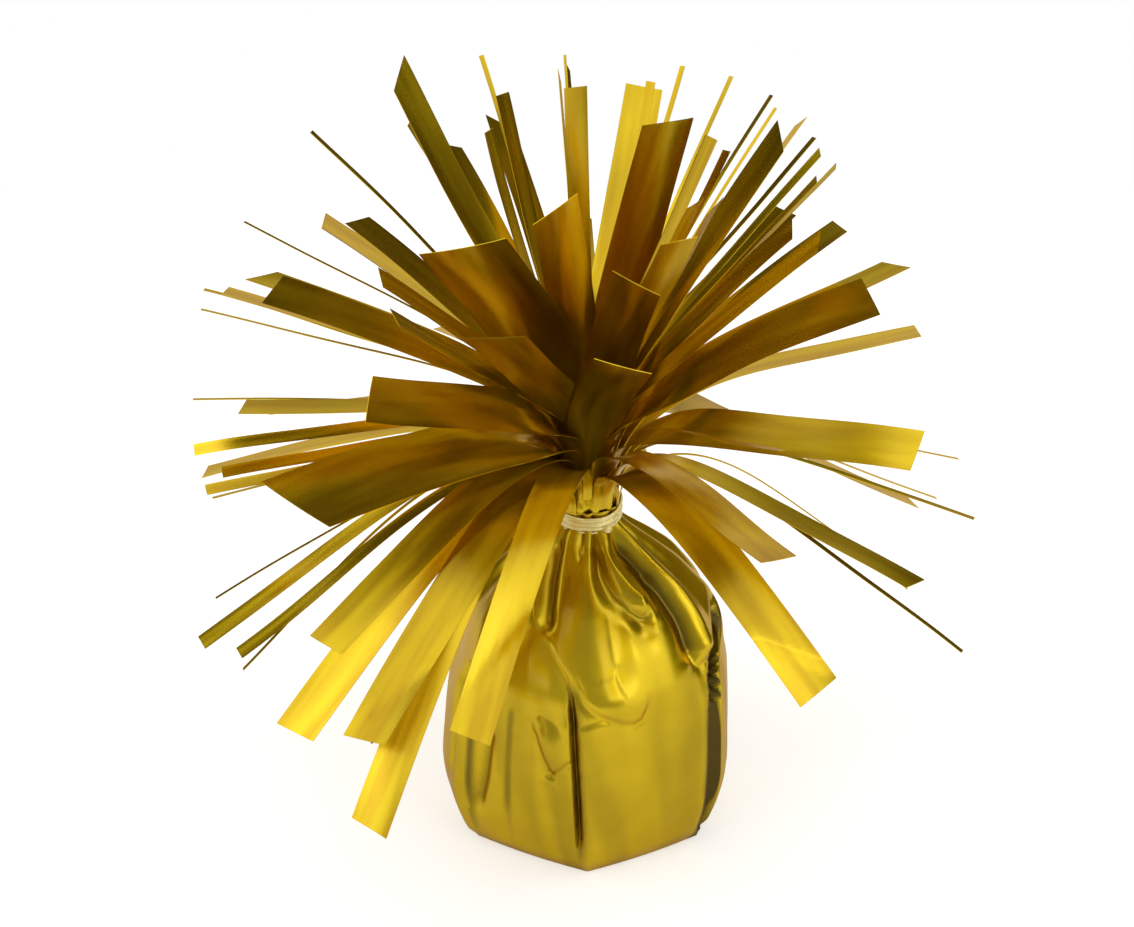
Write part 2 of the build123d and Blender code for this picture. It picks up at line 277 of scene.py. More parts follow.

# %% [markdown]
# ## Gold metallised film
# Polyester film with a vapour-deposited aluminium mirror behind a gold lacquer. The eye sees
# a deep yellow mirror, a little soft from fine handling marks, with the lacquer's own pale
# gloss on top. The strips have lines along their length from the slitting knife, so their
# pattern follows a UV map in metres, and near their crushed roots they mirror less. The bag
# has crumples that run every way. A vertex value paints shade brown on the bag: in deep folds,
# under the fringe and in streaks.

# %% Film material
FILM_GOLD = "#e7c71a"
FILM_GOLD_DEEP = "#dfbf14"
STREAK_GOLD = "#c9a410"
# a brown painted on as shade: in deep folds, under the fringe and in streaks on the bag
SHADE_BROWN = "#2e1e04"
FLAT_METAL = 0.94
CRUSHED_METAL = 0.70
CRUSHED_RUN = 40  # millimetres from the root
FILM_COAT = 0.35
FILM_COAT_HAZE = 0.12
# sockets of a colour mix: factor, first and second colour, and the result
MIX_FACTOR, MIX_FIRST, MIX_SECOND, MIX_RESULT = 0, 6, 7, 2


def film_material(name, deep, crinkle_mm, stretch, crinkle_depth, haze_range, coordinates):
    """Gold film that varies towards a deep tone.

    Crinkles have a size and depth in millimetres and are drawn out along the strip by stretch.
    """
    material, tree, shader = new_material(name)
    place = add_node(tree, "ShaderNodeTexCoord")
    scale = 1 / (crinkle_mm * MM)
    drawn = add_node(
        tree, "ShaderNodeMapping",
        {"Vector": place.outputs[coordinates], "Scale": (scale, scale / stretch, scale)},
    )
    crinkle = add_node(
        tree, "ShaderNodeTexNoise",
        {"Vector": drawn.outputs["Vector"], "Scale": 1.0, "Detail": 1.5, "Roughness": 0.5},
    )
    tone = add_node(tree, "ShaderNodeValToRGB", {"Fac": crinkle.outputs["Fac"]})
    set_ramp(tone.color_ramp, ((0.35, deep), (0.65, FILM_GOLD)))
    haze = add_node(
        tree, "ShaderNodeMapRange",
        {"Value": crinkle.outputs["Fac"], "From Min": 0.3, "From Max": 0.7,
         "To Min": haze_range[0], "To Max": haze_range[1]},
    )
    bump = add_node(
        tree, "ShaderNodeBump",
        {"Height": crinkle.outputs["Fac"], "Strength": 1.0, "Distance": crinkle_depth * MM},
    )
    # painted shade: a vertex value mixes the film towards a brown that stands for shade in folds
    # and under the fringe
    depth = add_node(tree, "ShaderNodeAttribute", attribute_name="painted_shade")
    shade_mix = add_node(
        tree, "ShaderNodeMix",
        {MIX_FACTOR: depth.outputs["Fac"], MIX_FIRST: tone.outputs["Color"],
         MIX_SECOND: linear(SHADE_BROWN)},
        data_type="RGBA",
    )
    tree.links.new(shade_mix.outputs[MIX_RESULT], shader.inputs["Base Color"])
    tree.links.new(haze.outputs["Result"], shader.inputs["Roughness"])
    tree.links.new(bump.outputs["Normal"], shader.inputs["Normal"])
    shader.inputs["Metallic"].default_value = FLAT_METAL
    if coordinates == "UV":
        run = add_node(tree, "ShaderNodeSeparateXYZ", {"Vector": place.outputs["UV"]})
        metal = add_node(
            tree, "ShaderNodeMapRange",
            {"Value": run.outputs["Y"], "From Min": 0.0, "From Max": CRUSHED_RUN * MM,
             "To Min": CRUSHED_METAL, "To Max": FLAT_METAL},
        )
        tree.links.new(metal.outputs["Result"], shader.inputs["Metallic"])
    shader.inputs["Specular Tint"].default_value = linear(FILM_GOLD)
    shader.inputs["Coat Weight"].default_value = FILM_COAT
    shader.inputs["Coat Roughness"].default_value = FILM_COAT_HAZE
    return material


strip_film = film_material("slit gold film", STREAK_GOLD, 3.0, 10.0, 0.010, (0.17, 0.24), "UV")
bag_film = film_material(
    "crumpled gold film", FILM_GOLD_DEEP, 7.0, 1.0, 0.015, (0.28, 0.34), "Object"
)
print("film materials:", strip_film.name, "and", bag_film.name)

# %% [markdown]
# ## Finishing a piece
# Every piece ends the same way: its mesh becomes an object at the origin with its finish in a
# material slot, it rides on the body, and the node of the frame that it replaces is hidden.

# %% Finish helper
FILM_THICKNESS = 0.12 * MM
CRISP_ANGLE = math.radians(50)


def finish_piece(name, bm, material, nodes, crisp=True):
    """Make a named object of the mesh, put it on the root body and hide the frame nodes that it
    replaces.
    """
    mesh = bpy.data.meshes.new(name)
    bm.to_mesh(mesh)
    bm.free()
    mesh.materials.append(material)
    mesh.shade_smooth()
    if crisp:
        mesh.set_sharp_from_angle(angle=CRISP_ANGLE)
    piece = bpy.data.objects.new(name, mesh)
    bpy.context.collection.objects.link(piece)
    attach(piece, "root")
    if nodes:
        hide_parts(*nodes)
    return piece


def give_thickness(bm):
    """Turn a single layer into a closed film."""
    bmesh.ops.solidify(bm, geom=bm.faces[:], thickness=FILM_THICKNESS)


# %% [markdown]
# ## The strips
# A strip leaves the neck upright, bends outwards within a few centimetres and then runs
# straight, with a twist. The frame was built from a bearing, the pitch of the tip, a roll
# and two shares for length and width, so the same table is used here. Each strip starts as
# a flat grid, like the film that it was cut from, and its vertices are moved on to the path.
# Near the neck the film is curled round the gather, so it is cupped there and flat beyond.

# %% Strip table, layer by layer from the lowest
STRIP_LAYERS = (
    ((-130, -58, -20, 1.06, 1.1), (80, -50, 10, 1.00, 1.0), (130, -50, -10, 1.00, 1.0)),
    ((-138, -37, -40, 1.00, 1.1), (-60, -16, 30, 1.00, 1.1), (27, -37, 20, 1.00, 0.6),
     (63, -33, 50, 0.90, 1.0), (164, -24, -20, 1.00, 0.7)),
    ((-152, -29, 0, 1.04, 0.8), (-122, -32, -30, 1.00, 1.1), (-44, -8, -10, 1.00, 0.6),
     (34, -7, 20, 1.00, 0.8), (112, -15, -10, 0.95, 1.0), (148, -19, 0, 0.95, 0.6)),
    ((-106, -26, -20, 1.00, 1.0), (-64, 4, 10, 0.95, 1.0), (38, 3, 0, 1.00, 0.8),
     (92, 5, 10, 0.95, 1.0)),
    ((-154, 1, -50, 1.00, 0.9), (-129, -16, 0, 0.95, 0.9), (-40, 12, 50, 1.00, 1.0),
     (46, 9, -10, 0.95, 0.7), (146, 3, 0, 1.00, 0.8)),
    ((-147, 17, -10, 1.00, 0.6), (54, 13, 10, 0.90, 0.7)),
    ((-166, 26, -10, 1.00, 0.7), (-126, 24, -50, 0.95, 1.1), (-84, 38, -20, 0.88, 1.4),
     (-32, 35, 40, 0.95, 1.0), (75, 25, -25, 0.95, 0.8), (137, 11, 15, 0.95, 0.9)),
    ((-152, 32, -40, 1.00, 0.9), (-108, 38, 30, 0.90, 1.4), (53, 25, -15, 1.00, 0.8),
     (118, 27, 10, 0.90, 0.9)),
    ((-140, 40, -35, 0.85, 0.9), (-80, 48, -20, 0.90, 1.3), (-28, 48, 55, 0.90, 0.9),
     (22, 42, 0, 0.88, 0.8), (80, 30, 10, 1.00, 1.0)),
    ((-164, 47, -25, 0.85, 0.8), (-66, 55, -10, 0.88, 0.8), (-14, 60, 25, 0.95, 0.8),
     (107, 30, 35, 0.90, 0.8)),
    ((-118, 48, 25, 0.95, 2.1), (-52, 58, -10, 0.90, 1.0), (95, 34, 40, 1.00, 0.6),
     (133, 40, 30, 0.88, 0.8), (168, 61, -10, 1.00, 0.8)),
    ((-175, 75, -40, 0.90, 0.9), (-100, 60, 10, 0.90, 1.2), (-30, 66, -35, 0.92, 1.0)),
    ((-104, 82, -25, 0.95, 0.6), (-42, 76, -20, 0.90, 1.2)),
)
SLIVERS = (
    # layer, bearing, pitch, length share
    (0, -170, -45, 1.00), (0, -25, -30, 1.00), (0, 100, -35, 0.95), (3, -20, -8, 0.95),
    (5, 166, 10, 1.00), (5, -60, 20, 0.92), (9, 45, 28, 0.95), (9, 160, 40, 0.98),
    (12, 70, 40, 0.95), (12, 130, 62, 0.92),
)
print("strips:", sum(len(layer) for layer in STRIP_LAYERS), "slivers:", len(SLIVERS))

# %% How each strip settles
# Film is limp, so a strip turns on its own line from the roll in the table, in degrees.
SETTLING = {
    1: 12, 4: 24, 5: 6, 6: -12, 8: 18, 9: -18, 10: 12, 11: 12, 12: -24, 15: -6, 16: -18, 19: 6,
    20: -24, 21: 6, 22: 12, 25: -6, 26: 12, 27: -18, 28: 6, 29: 24, 32: -6, 33: -18, 34: -12,
    36: -12, 37: -18, 38: 12, 40: 6, 42: -6, 43: 12, 44: -12, 46: 18, 47: 24, 48: -6, 49: -18,
    51: 24, 52: 24, 53: 12, 54: -24,
}
# Slits that ran on divide some strips into narrow ribbons.
RIBBONS = {9: 2, 19: 3, 34: 2, 36: 2, 38: 2, 39: 3, 46: 2, 47: 2, 50: 2, 52: 2}
# How far a tip is cut askew, as a share of the width. The others are cut almost square.
TIP_CUTS = {
    12: 0.5, 14: -0.5, 17: -0.4, 22: 0.3, 23: 0.6, 24: 0.9, 26: 0.5, 27: 0.25, 28: -0.2, 29: -0.3,
    31: -0.8, 32: 0.7, 33: -0.2, 34: -0.6, 35: 0.5, 36: -0.6, 37: 0.3, 38: 0.8, 39: 0.5, 40: 0.0,
    41: 0.9, 42: 0.5, 43: 0.4, 44: 0.5, 45: -0.1, 46: 0.7, 47: 0.8, 48: -0.5, 49: -0.7, 50: 0.2,
    51: 0.45, 52: -0.5, 53: 0.3, 54: 0.3,
}
# Diagonal folds near a tip: shares of the length where the fold meets the strip's two edges,
# and the slope of the film beyond it.
TIP_FOLDS = {15: (0.97, 0.62, 0.05), 5: (0.80, 0.98, -0.20), 10: (0.98, 0.75, 0.07)}
print("strips that settle:", len(SETTLING), "and that are slit:", len(RIBBONS))

# %% Path of a strip
STRIP_LENGTH = 80.0
STRIP_WIDTH = 7.2
SLIVER_WIDTH = 1.0
ROOT_WIDTH = 4.0
FULL_WIDTH_SHARE = 0.17
GATHER_RADIUS = 5.75
LAYER_STEP = 0.3
LAYER_RISE = 1.0
ROOT_CLEARANCE = 0.4
FIRST_ROOT = 66.96
BEND_POWER = 5
ROLL_START, ROLL_END = 0.06, 0.50
CUP_END = 0.34
TIP_SLANT = 0.12
TIP_START = 0.82
STANDING_CUP = 0.012
WANDER, TWIST = 6, 8
# for each noise along a strip: step from seed to seed, rate along the strip, plane
WANDER_NOISE = (3.7, 2.6, 0.5)
TWIST_NOISE = (5.3, 2.1, 7.5)
WANDER_SPAN, TWIST_SPAN = (0.2, 0.7), (0.2, 0.6)
UV_STEP = 0.013
RIBBON_ROLL = 30
RIBBON_SPLAY = 5.0
SPLAY_START = 0.3
RIBBON_FILL = 0.95
RIBBON_SHORTER = 0.06
LENGTH_STEPS = 72
WIDTH_STEPS = 6


def smooth_share(value, start, end):
    """Smooth rise from 0 at start to 1 at end."""
    part = min(max((value - start) / (end - start), 0), 1)
    return part * part * (3 - 2 * part)


def level_direction(bearing):
    """Level unit vector at a bearing in degrees, counted from +X towards +Y."""
    turn = math.radians(bearing)
    return Vector((math.cos(turn), math.sin(turn), 0))


def drift(seed, share, spread):
    """Slow noise along a strip, different for each seed."""
    seed_step, rate, plane = spread
    return noise.noise(Vector((seed * seed_step, share * rate, plane)))


def strip_stations(layer, bearing, pitch, roll, length, seed):
    """Middle point and frame (along, across, face) of the strip at each step."""
    outward, sideways = level_direction(bearing), level_direction(bearing + 90)
    upward = Vector((0, 0, 1))
    root = GATHER_RADIUS - LAYER_STEP * layer + ROOT_CLEARANCE
    middle = outward * root + upward * (FIRST_ROOT + LAYER_RISE * layer)
    stations = []
    for step in range(LENGTH_STEPS + 1):
        share = step / LENGTH_STEPS
        wander = drift(seed, share, WANDER_NOISE) * smooth_share(share, *WANDER_SPAN)
        lean = math.radians(pitch + (90 - pitch) * (1 - share) ** BEND_POWER + WANDER * wander)
        along = outward * math.cos(lean) + upward * math.sin(lean)
        face = upward * math.cos(lean) - outward * math.sin(lean)
        twist = drift(seed, share, TWIST_NOISE) * smooth_share(share, *TWIST_SPAN)
        turn = math.radians(roll * smooth_share(share, ROLL_START, ROLL_END) + TWIST * twist)
        across = sideways * math.cos(turn) + face * math.sin(turn)
        normal = face * math.cos(turn) - sideways * math.sin(turn)
        stations.append((middle.copy(), along, across, normal))
        middle += along * (length / LENGTH_STEPS)
    return stations, root


def add_strip(
    bm, layer, bearing, pitch, roll, length, width, slant, seed, lane=0.0, fill=1.0, fold=None
):
    """Add a strip to a mesh: a flat grid laid along its path. A ribbon is one lane of a strip."""
    stations, root = strip_stations(layer, bearing, pitch, roll + RIBBON_ROLL * lane, length, seed)
    uv = bm.loops.layers.uv.verify()
    made = bmesh.ops.create_grid(
        bm, x_segments=WIDTH_STEPS, y_segments=LENGTH_STEPS, size=0.5, calc_uvs=True
    )["verts"]
    root_width = min(ROOT_WIDTH, width)
    faces = list(dict.fromkeys(face for vert in made for face in vert.link_faces))
    for face in faces:
        for loop in face.loops:
            here = loop.vert.co
            loop[uv].uv = (here.x * width * MM + seed * UV_STEP, (here.y + 0.5) * length * MM)
    for vert in made:
        place, share = vert.co.x + 0.5, vert.co.y + 0.5
        middle, along, across, normal = stations[round(share * LENGTH_STEPS)]
        spread = root_width + (width - root_width) * smooth_share(share, 0, FULL_WIDTH_SHARE)
        own = vert.co.x * fill * spread
        off = own + lane * (spread + RIBBON_SPLAY * smooth_share(share, SPLAY_START, 1))
        bend = (1 - smooth_share(share, 0, CUP_END)) / root + STANDING_CUP
        cup_radius = 1 / bend
        side = cup_radius * math.sin(off / cup_radius)
        rise = cup_radius * (1 - math.cos(off / cup_radius))
        tip = smooth_share(share, TIP_START, 1.0) * slant * own
        if fold:
            left_end, right_end, slope = fold
            rise += slope * length * max(share - left_end - (right_end - left_end) * place, 0)
        vert.co = (middle + across * side + normal * rise + along * tip) * MM
    bmesh.ops.recalc_face_normals(bm, faces=faces)


# %% Lay out every strip
strips = []
for layer, rows in enumerate(STRIP_LAYERS):
    for bearing, pitch, roll, length_share, width_share in rows:
        number = len(strips) + 1
        bm = bmesh.new()
        settled = roll + SETTLING.get(number, 0)
        slant = TIP_CUTS.get(number, TIP_SLANT if number % 2 else -TIP_SLANT)
        ribbons = RIBBONS.get(number, 1)
        for ribbon in range(ribbons):
            length = STRIP_LENGTH * length_share * (1 - RIBBON_SHORTER * (ribbon % 2))
            add_strip(
                bm, layer, bearing, pitch, settled, length, STRIP_WIDTH * width_share, slant,
                number,
                lane=(ribbon + 0.5) / ribbons - 0.5,
                fill=RIBBON_FILL / ribbons if ribbons > 1 else 1.0,
                fold=TIP_FOLDS.get(number),
            )
        give_thickness(bm)
        name = f"fringe_strip_{number:02d}"
        strip = finish_piece(f"film_strip_{number:02d}", bm, strip_film, [name])
        strips.append(strip)
print("strips laid out:", len(strips))

# %% [markdown]
# ## The slivers
# Between the slits threads of film are left, some as fine as a hair. They follow the same
# path, without roll. The frame holds the main ones, and the film has a few more.

# %% Slivers
FINE_SLIVERS = (
    # layer, bearing, pitch, length share, width in millimetres
    (7, 156, 16, 1.00, 0.5), (6, 171, 8, 0.98, 0.6), (1, -158, -22, 0.95, 0.5),
    (1, -146, -44, 0.90, 0.8), (0, -142, -60, 0.85, 0.5), (11, 100, 68, 0.90, 0.5),
    (11, 62, 66, 0.85, 1.8), (2, 14, -18, 0.95, 0.6), (1, 18, -30, 0.95, 1.0),
    (0, 8, -44, 0.90, 0.6), (10, 50, 38, 0.95, 0.8), (10, 40, 46, 0.90, 0.7),
    (8, 62, 36, 1.00, 0.9), (4, 176, -4, 0.95, 0.6), (3, -166, -10, 0.90, 0.7),
)
SLIVER_SEED = 70
bm = bmesh.new()
main = [(*sliver, SLIVER_WIDTH) for sliver in SLIVERS]
for number, (layer, bearing, pitch, length_share, width) in enumerate(main + list(FINE_SLIVERS)):
    length = STRIP_LENGTH * length_share
    add_strip(bm, layer, bearing, pitch, 0, length, width, 0, SLIVER_SEED + number)
give_thickness(bm)
slivers = finish_piece("film_slivers", bm, strip_film, ["fringe_slivers"])
print("slivers:", len(SLIVERS) + len(FINE_SLIVERS))

# %% [markdown]
# ## A loose leaf
# At the left a broad leaf of film hangs out from between the strips.

# %% Loose leaf
LEAF = (4.5, -141, 2, -21)  # layer, bearing, pitch, roll
LEAF_LENGTH = 0.86
LEAF_WIDTH = 1.9
LEAF_SLANT = -0.4
LEAF_SEED = 90
bm = bmesh.new()
add_strip(
    bm, *LEAF, STRIP_LENGTH * LEAF_LENGTH, STRIP_WIDTH * LEAF_WIDTH, LEAF_SLANT, LEAF_SEED
)
give_thickness(bm)
leaf = finish_piece("film_leaf", bm, strip_film, [])
print("leaf:", len(leaf.data.polygons), "faces")

# %% [markdown]
# ## The bag
# One sheet of film is drawn up round the plug. It stands on a flat base with six soft
# corners, swells a little, and is gathered into the neck in sharp-bottomed pleats. A grid
# gives the sheet: one way runs round the bag, the other from the middle of the base up to
# the cut edge above the tie. Folds are a table of lines on the bag, each with a width and a
# height, and a vertex is pushed out or in by the folds that it lies near.

# %% Profile of the bag
WRAP_PROFILE = (
    # height, radius at the creases, crease share, pleat depth, in millimetres
    (0.0, 24.20, 0.80, 0.00),
    (3.30, 25.88, 0.70, 0.00),
    (11.88, 27.40, 0.50, 0.05),
    (22.11, 28.20, 0.40, 0.08),
    (31.35, 27.96, 0.40, 0.12),
    (36.78, 26.50, 0.40, 0.20),
    (41.30, 25.00, 0.38, 0.30),
    (45.81, 22.90, 0.35, 0.45),
    (50.00, 19.90, 0.32, 0.65),
    (53.70, 16.80, 0.30, 0.80),
    (57.00, 12.90, 0.24, 0.80),
    (59.60, 9.70, 0.16, 0.65),
    (61.80, 7.30, 0.05, 0.45),
    (63.50, 5.95, 0.00, 0.35),
    (65.00, 5.60, 0.00, 0.30),
    (66.20, 5.70, 0.00, 0.20),
    (67.40, 5.95, 0.00, 0.12),
)
ROW_STEP = 0.50


def catmull(before, start, end, after, share):
    """Point on a smooth curve between start and end."""
    return [
        0.5 * (2 * b + (c - a) * share + (2 * a - 5 * b + 4 * c - d) * share ** 2
               + (3 * b - a - 3 * c + d) * share ** 3)
        for a, b, c, d in zip(before, start, end, after)
    ]


def bag_profile():
    """Dense list of height, radius, crease and pleat, from the base edge to the collar."""
    dense = []
    last = len(WRAP_PROFILE) - 1
    for index in range(last):
        around = [WRAP_PROFILE[min(max(index + shift, 0), last)] for shift in (-1, 0, 1, 2)]
        steps = max(2, round(math.dist(around[1][:2], around[2][:2]) / ROW_STEP))
        for step in range(steps):
            dense.append(catmull(*around, step / steps))
    dense.append(list(WRAP_PROFILE[-1]))
    return dense


profile = bag_profile()
print("profile rows:", len(profile))

# %% Folds of the bag
def profile_at(height):
    """Radius, crease share and pleat depth of the bag at a height."""
    for lower, upper in zip(profile, profile[1:]):
        if height <= upper[0]:
            share = (height - lower[0]) / max(upper[0] - lower[0], 1e-6)
            return [low + (high - low) * share for low, high in zip(lower[1:], upper[1:])]
    return profile[-1][1:]


CREASES = 6
SHOULDER_EASE = 0.85
# the creases fade on the shoulder in front: span of angles and of heights
EASE_TURNS, EASE_HEIGHTS = (35, 70), (31, 40)


def bag_point(turn, height, radius, crease):
    """Point of the plain bag at an angle from the front, to the right, and a height."""
    half_side = math.pi / CREASES
    from_flat = math.radians(turn) % (2 * half_side) - half_side
    front = 1 - smooth_share(abs(turn), *EASE_TURNS)
    crease *= 1 - SHOULDER_EASE * front * smooth_share(height, *EASE_HEIGHTS)
    reach = radius * (1 - crease + crease * math.cos(half_side) / math.cos(from_flat))
    return level_direction(turn - 90) * reach + Vector((0, 0, height))


FOLDS = (
    # kind, depth, reach to the right and to the left of the line, lift of the left side, all in
    # millimetres, then the line: angle from the front (right is +) and height. A crease has a
    # sharp bottom, a groove a round one and a slot a flat one; grooves and slots also get painted
    # shade by their depth. A shade is painted shade alone.
    # front pleat, its right panel over its left one, with a groove in its lower half that is
    # darkened by its depth and by painted shade
    ("crease", 0.8, 1.7, 0.6, 0.5, ((-26.7, 49.5), (-18.7, 47.3), (-13.7, 44.7), (-9.8, 42.6),
                                    (-6.8, 39.1), (-5.3, 34.7), (-4.4, 30), (-3.9, 24),
                                    (-3.4, 16), (-3.0, 8), (-2.2, -4))),
    ("groove", 1.7, 0.7, 0.45, 0.0, ((-7.5, 41), (-5.8, 34), (-5.2, 28), (-4.6, 23),
                                     (-3.9, 17), (-3.2, 9), (-2.2, -6))),
    # narrow pleat at the left of the neck
    ("groove", 1.6, 1.2, 1.0, 0.0, ((-46, 62), (-31, 57.3), (-25, 54), (-21, 49))),
    ("crease", -0.6, 0.8, 0.8, 0.0, ((-53, 61), (-41, 57), (-35.5, 53.7), (-27, 49))),
    # finger with a hollow under it
    ("groove", 1.3, 2.6, 1.2, 0.5, ((3, 64), (10.5, 60.5), (13.5, 57.9), (19.6, 54.8), (25.7, 52.5),
                                    (32.5, 51), (41, 51.5))),
    ("crease", -0.5, 0.9, 1.5, 0.0, ((15, 62), (25.7, 57.8), (30.9, 55.3), (37, 52.3))),
    ("crease", 0.4, 1.5, 1.5, 0.0, ((52, 57), (46.6, 54), (43.6, 51.4), (39, 48))),
    # long finger at the right, the dark valley beside it and its pinched end
    ("groove", 2.0, 2.8, 1.6, 0.6, ((34, 64), (50, 59.2), (53.5, 55.5), (55.2, 52.5), (56, 48.5),
                                    (54.6, 44.5), (53.0, 40))),
    ("crease", -0.8, 1.1, 2.0, 0.0, ((50, 58), (66, 51.5), (65, 46.5), (61.5, 39.5))),
    ("crease", 0.9, 1.4, 0.9, 0.0, ((54, 43), (53.2, 40.4), (56.1, 39.3), (60.6, 39.8), (64, 42))),
    # deep groove at the right, painted dark brown inside as shade
    ("slot", 3.6, 0.9, 3.1, 0.0, ((96, 47), (80, 44), (68, 40.5), (61, 36.5), (58, 30), (57.4, 18),
                                  (57.6, 8), (58, -8))),
    # pouch and the edge under it
    ("crease", 0.5, 0.8, 2.6, 0.8, ((-8, 45), (-4.9, 40.9), (-2.4, 38.6), (1.8, 36.9), (6.9, 35.4),
                                    (13.1, 33.9), (18.4, 33.2), (22.6, 33.9), (25.3, 36.2),
                                    (28, 40))),
    ("crease", 0.35, 0.5, 0.8, 0.0, ((-5.5, 33.7), (1.7, 35), (10, 35.6))),
    ("crease", -0.15, 0.5, 0.5, 0.0, ((10.9, 52.5), (11.7, 48.4), (12.4, 44.2))),
    # tongue on the left panel
    ("crease", 0.8, 1.2, 0.8, 0.5, ((-23.4, 32.5), (-19.5, 28), (-16.7, 24.5), (-15, 21.5))),
    ("crease", 0.9, 1.5, 0.7, 0.0, ((-16.5, 21.8), (-11, 24), (-6, 26.3))),
    ("crease", 0.4, 0.9, 0.9, 0.0, ((-24.3, 30), (-23.6, 33.8), (-20.6, 35.3), (-14.8, 34.5),
                                    (-10.1, 31.7), (-7.2, 25))),
    # slack folds of the left side
    ("crease", 0.6, 1.4, 0.7, 0.0, ((-24.3, 35), (-23.7, 24.2), (-25.4, 8))),
    ("groove", 1.4, 0.8, 1.6, 0.0, ((-43, 30), (-45.3, 22.8), (-47.4, 17.1), (-53, 8))),
    ("groove", 1.4, 1.2, 1.2, 0.0, ((-60, 40), (-64.2, 34.7), (-65.4, 26.9), (-65, 12))),
    ("crease", 0.3, 1.5, 1.5, 0.0, ((-20, 22), (-15.8, 13.5), (-14, 2))),
    ("crease", 0.4, 1.0, 2.0, 0.0, ((-31, 31), (-34, 20), (-41, 2))),
    # painted shade on the shadowed sides of the slack folds and in valleys at the right, with no
    # step of their own
    ("shade", 1.9, 0.3, 3.0, 0.0, ((-10, 44), (-7.5, 36), (-6, 26), (-5, 14), (-3.5, -4))),
    ("shade", 1.6, 1.2, 1.4, 0.0, ((-32, 38), (-33.5, 28), (-35, 16), (-39, -2))),
    ("shade", 1.9, 1.0, 1.8, 0.0, ((-51, 40), (-52.5, 30), (-54, 16), (-57, -2))),
    ("shade", 2.0, 1.5, 1.5, 0.0, ((34, 60), (44, 54.5), (48.5, 49.5), (50.5, 42))),
    ("shade", 1.2, 1.0, 2.4, 0.0, ((55, 40), (54, 28), (54, 14), (55, -4))),
    # soft dip across the right panel
    ("crease", 0.45, 3.0, 5.0, 0.0, ((-3, 34), (6.6, 25), (16.2, 17.6), (28, 8))),
)
BULGES = (
    # angle from the front, height, reach round the bag, reach up the bag, rise
    (11.5, 38.0, 6.0, 4.0, 1.3),
    (-14.5, 28.5, 2.6, 4.0, 0.8),
    (36, 52.8, 1.8, 1.8, 0.7),
    (60, 42.0, 2.2, 2.4, 0.9),
    (84, 43.0, 8.0, 7.0, 1.6),
    (-78, 11.0, 16.0, 9.0, 1.9),
    (-84, 36.0, 12.0, 8.0, -1.2),
    (82, 10.0, 14.0, 9.0, 1.2),
)
CUSP = 0.22
LIFT_START = 1.5
LIFT_REACH = 6.0
FOLD_TAPER = 0.15
SLOT_EDGE = 0.3
SLOT_FADE = 0.2
SLOT_LIPS = (0.2, 0.8)
# a fold is skipped beyond this many reaches, of its lift or of its line
LIFT_REACHES, LINE_REACHES = 3, 5


def fold_lines():
    """Each fold with its line as points on the plain bag, and a ball that holds it."""
    lines = []
    for *sizes, marks in FOLDS:
        points = [bag_point(turn, level, *profile_at(level)[:2]) for turn, level in marks]
        middle = sum(points, Vector()) / len(points)
        reach = LIFT_REACHES * LIFT_REACH if sizes[4] else LINE_REACHES * max(sizes[2:4])
        ball = max((point - middle).length for point in points) + reach
        lines.append((sizes, points, middle, ball))
    return lines


def fold_height(point, outward, lines):
    """How far the folds push a point of the bag outwards, and how much shade is painted on it by
    grooves, slots and shade lines.
    """
    total = 0.0
    shade_depth = 0.0
    for (kind, depth, reach_right, reach_left, lift), points, middle, ball in lines:
        if (point - middle).length > ball:
            continue
        best = None
        for index, (start, end) in enumerate(zip(points, points[1:])):
            run = end - start
            share = min(max((point - start).dot(run) / run.length_squared, 0), 1)
            off = point - (start + run * share)
            if best is None or off.length < best[0]:
                along = (index + share) / (len(points) - 1)
                best = (off.length, off.dot(run.cross(outward)), along)
        distance, side, along = best
        ends = smooth_share(along, 0, FOLD_TAPER) * (1 - smooth_share(along, 1 - FOLD_TAPER, 1.0))
        reach = reach_right if side > 0 else reach_left
        bell = depth * ends * math.exp(-((distance / reach) ** 2))
        if kind == "groove":
            total -= bell
            shade_depth = max(shade_depth, bell)
        elif kind == "shade":
            shade_depth = max(shade_depth, bell)
        elif kind == "slot":
            edge = smooth_share(distance, reach - SLOT_EDGE, reach + SLOT_EDGE)
            total -= depth * ends * (1 - edge)
            fade = 1 - SLOT_FADE * min(distance / reach, 1) if side <= 0 else 1
            lips = 1 - smooth_share(distance, *(reach + lip for lip in SLOT_LIPS))
            shade_depth = max(shade_depth, depth * ends * fade * lips)
        else:
            total -= depth * ends * math.exp(-(math.hypot(distance, CUSP) - CUSP) / reach)
        if side <= 0:
            onset = smooth_share(distance, 0, LIFT_START)
            total += lift * ends * onset * math.exp(-distance / LIFT_REACH)
    return total, shade_depth


def bulge_height(point, turn):
    """How far the full places of the film stand out, in millimetres."""
    total = 0.0
    for middle, level, reach_round, reach_up, rise in BULGES:
        radius = math.hypot(point.x, point.y)
        across = math.radians(turn - middle) * radius / reach_round
        upward = (point.z - level) / reach_up
        total += rise * math.exp(-across * across - upward * upward)
    return total


print("folds:", len(FOLDS))

# %% Shape the bag
BAG_COLUMNS = 290
WELD = 0.001 * MM
BASE_ROWS = 10
PLEATS = 12
FRONT_CROWDING = 26
SETTLE_HEIGHT = 3
